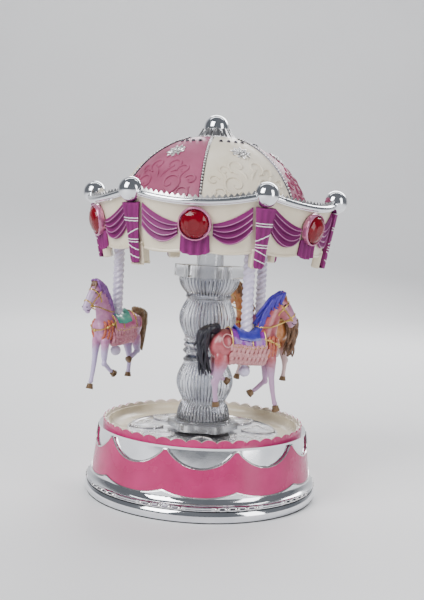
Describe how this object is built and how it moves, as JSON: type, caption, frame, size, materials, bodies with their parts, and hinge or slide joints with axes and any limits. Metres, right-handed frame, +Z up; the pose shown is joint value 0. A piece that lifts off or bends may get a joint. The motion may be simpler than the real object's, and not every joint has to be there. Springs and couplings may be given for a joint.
{
  "type": "carousel music box",
  "caption": "Wind-up carousel music box: chrome drum, clear column, domed canopy with gems and drapes, horses on twisted poles, lit from the ceiling.",
  "frame": {"origin": "middle of the rest face, on the turning axis", "axes": "+Z up along the turning axis, -Y to the front"},
  "size_m": [0.124, 0.1182, 0.1775],
  "materials": {
    "chrome": "chrome-plated plastic",
    "silver": "silver-plated plastic",
    "pink": "glossy paint",
    "cream": "satin moulding",
    "drape": "satin paint",
    "roof": "pearl paint",
    "clear": "clear ribbed plastic",
    "ruby": "red faceted plastic",
    "brass": "satin",
    "steel": "bright",
    "rubber": "matt",
    "pole": "pearl",
    "rose_horse": "hand-painted gloss",
    "peach_horse": "hand-painted gloss",
    "lilac_horse": "hand-painted gloss",
    "board": "circuit board",
    "lamp": "clear lamp",
    "black": "matt"
  },
  "bodies": {
    "case": {"drum_shell": "chrome", "swag_band": "pink", "scallop_rim": "pink", "deck_tray": "cream", "deck_plate": "silver", "deck_bush": "brass", "bottom_cover": "cream", "cover_screws": "steel", "bedplate": "steel", "bedplate_screws": "steel", "movement_brackets": "brass", "comb": "steel", "comb_screws": "steel"},
    "winder": {"winding_foot": "chrome", "foot_ring": "rubber", "winding_arbor": "steel"},
    "carousel": {"spring_barrel": "brass", "mainspring": "steel", "drive_spindle": "steel", "core_plug": "cream", "core_tube": "clear", "column_plinth": "clear", "column_lower_barrel": "clear", "column_knot": "clear", "column_upper_barrel": "clear", "column_capital": "clear", "ceiling_plate": "cream", "ceiling_screws": "steel", "valance": "cream", "dome": "roof", "dome_beads": "silver", "crown_rails": "chrome", "pillar_drapes": "drape", "corner_balls": "chrome", "swag_drapes": "drape", "gem_tabs": "pink", "gem_bezels": "pink", "gems": "ruby", "finial_collar": "chrome", "finial_ball": "chrome", "pole_1": "pole", "pole_2": "pole", "pole_3": "pole", "pole_nuts": "steel", "horse_1": "rose_horse", "horse_2": "peach_horse", "horse_3": "lilac_horse", "lamp_board": "board", "lamps": "lamp", "battery_holder": "cream", "button_cells": "steel", "switch_body": "black"},
    "music_cylinder": {"pin_cylinder": "brass", "cylinder_arbor": "steel"},
    "governor": {"governor_wheel": "brass"},
    "fly": {"governor_fly": "steel"},
    "light_switch": {"switch_knob": "black"}
  },
  "joints": [
    {"name": "carousel_spin", "type": "hinge", "parent": "case", "child": "carousel", "pos_m": [0, 0, 0.03], "axis": [0, 0, 1], "continuous": true},
    {"name": "winding_turn", "type": "hinge", "parent": "case", "child": "winder", "pos_m": [0, 0, 0.003], "axis": [0, 0, 1], "range_deg": [0, 1080]},
    {"name": "cylinder_spin", "type": "hinge", "parent": "case", "child": "music_cylinder", "pos_m": [0.025, 0, 0.01611], "axis": [1, 0, 0], "continuous": true},
    {"name": "governor_spin", "type": "hinge", "parent": "case", "child": "governor", "pos_m": [0.025, -0.00806, 0.01611], "axis": [1, 0, 0], "continuous": true},
    {"name": "fly_spin", "type": "hinge", "parent": "case", "child": "fly", "pos_m": [0.025, -0.01532, 0.01611], "axis": [1, 0, 0], "continuous": true},
    {"name": "switch_slide", "type": "slide", "parent": "carousel", "child": "light_switch", "axis": [1, 0, 0], "range_m": [0, 0.003]}
  ],
  "couplings": [
    {"joint": "cylinder_spin", "follows": "carousel_spin", "ratio": 3},
    {"joint": "governor_spin", "follows": "carousel_spin", "ratio": -9},
    {"joint": "fly_spin", "follows": "carousel_spin", "ratio": 18}
  ]
}
